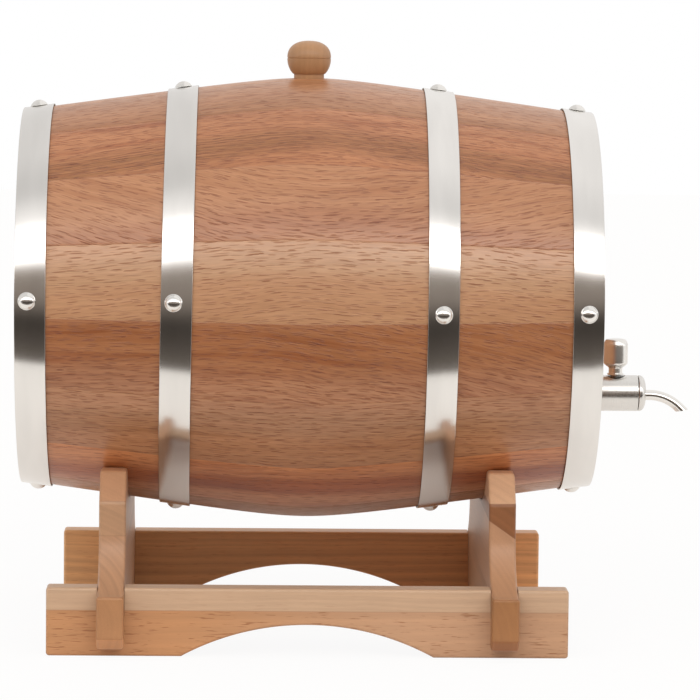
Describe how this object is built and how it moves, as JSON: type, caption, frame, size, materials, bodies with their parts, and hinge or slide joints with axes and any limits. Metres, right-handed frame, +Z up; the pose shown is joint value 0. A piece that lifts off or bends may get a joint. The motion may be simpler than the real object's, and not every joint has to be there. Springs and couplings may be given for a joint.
{
  "type": "oak cask liquor dispenser",
  "caption": "Coopered oak cask with steel hoops, a turned bung and a quarter-turn steel tap, lying in a halved oak cradle stand.",
  "frame": {"origin": "on the ground, under the middle of the whole length and width", "axes": "+X along the cask's axis towards the tap, +Y across the cask, +Z up; the stand rests on Z = 0"},
  "size_m": [0.4114, 0.308, 0.3614],
  "materials": {
    "cask_oak": "satin varnished oak",
    "head_oak": "satin varnished oak",
    "stand_wood": "satin varnished oak",
    "bung_wood": "turned and varnished",
    "hoop_steel": "brushed along the strip",
    "nail_steel": "polished",
    "tap_steel": "turned and satin polished",
    "tap_polished": "polished",
    "seal_rubber": "matte"
  },
  "bodies": {
    "stand": {"left_rail": "stand_wood", "right_rail": "stand_wood", "front_saddle": "stand_wood", "rear_saddle": "stand_wood"},
    "cask": {"stave_01": "cask_oak", "stave_02": "cask_oak", "stave_03": "cask_oak", "stave_04": "cask_oak", "stave_05": "cask_oak", "stave_06": "cask_oak", "stave_07": "cask_oak", "stave_08": "cask_oak", "stave_09": "cask_oak", "stave_10": "cask_oak", "stave_11": "cask_oak", "stave_12": "cask_oak", "stave_13": "cask_oak", "stave_14": "cask_oak", "stave_15": "cask_oak", "stave_16": "cask_oak", "stave_17": "cask_oak", "front_head_board_1": "head_oak", "front_head_board_2": "head_oak", "front_head_board_3": "head_oak", "rear_head_board_1": "head_oak", "rear_head_board_2": "head_oak", "rear_head_board_3": "head_oak", "front_head_hoop": "hoop_steel", "front_bilge_hoop": "hoop_steel", "rear_bilge_hoop": "hoop_steel", "rear_head_hoop": "hoop_steel", "front_head_nail_1": "nail_steel", "front_head_nail_2": "nail_steel", "front_head_nail_3": "nail_steel", "front_head_nail_4": "nail_steel", "front_bilge_nail_1": "nail_steel", "front_bilge_nail_2": "nail_steel", "front_bilge_nail_3": "nail_steel", "front_bilge_nail_4": "nail_steel", "rear_bilge_nail_1": "nail_steel", "rear_bilge_nail_2": "nail_steel", "rear_bilge_nail_3": "nail_steel", "rear_bilge_nail_4": "nail_steel", "rear_head_nail_1": "nail_steel", "rear_head_nail_2": "nail_steel", "rear_head_nail_3": "nail_steel", "rear_head_nail_4": "nail_steel", "tap_body": "tap_steel", "tap_nose": "tap_steel", "tap_spout": "tap_polished", "tap_outer_washer": "seal_rubber", "tap_inner_washer": "seal_rubber", "tap_lock_nut": "tap_steel", "tap_gland_ring": "tap_steel"},
    "bung": {"bung": "bung_wood"},
    "tap_valve": {"tap_valve_plug": "tap_polished", "tap_knob": "tap_polished", "tap_lower_seal": "seal_rubber", "tap_upper_seal": "seal_rubber"}
  },
  "joints": [
    {"name": "cask_lift", "type": "slide", "parent": "stand", "child": "cask", "axis": [0, 0, 1], "range_m": [0, 0.05]},
    {"name": "bung_lift", "type": "slide", "parent": "cask", "child": "bung", "axis": [0, 0, 1], "range_m": [0, 0.05]},
    {"name": "tap_turn", "type": "hinge", "parent": "cask", "child": "tap_valve", "pos_m": [0.16021, 0, 0.1443], "axis": [0, 0, 1], "range_deg": [0, 90]}
  ]
}
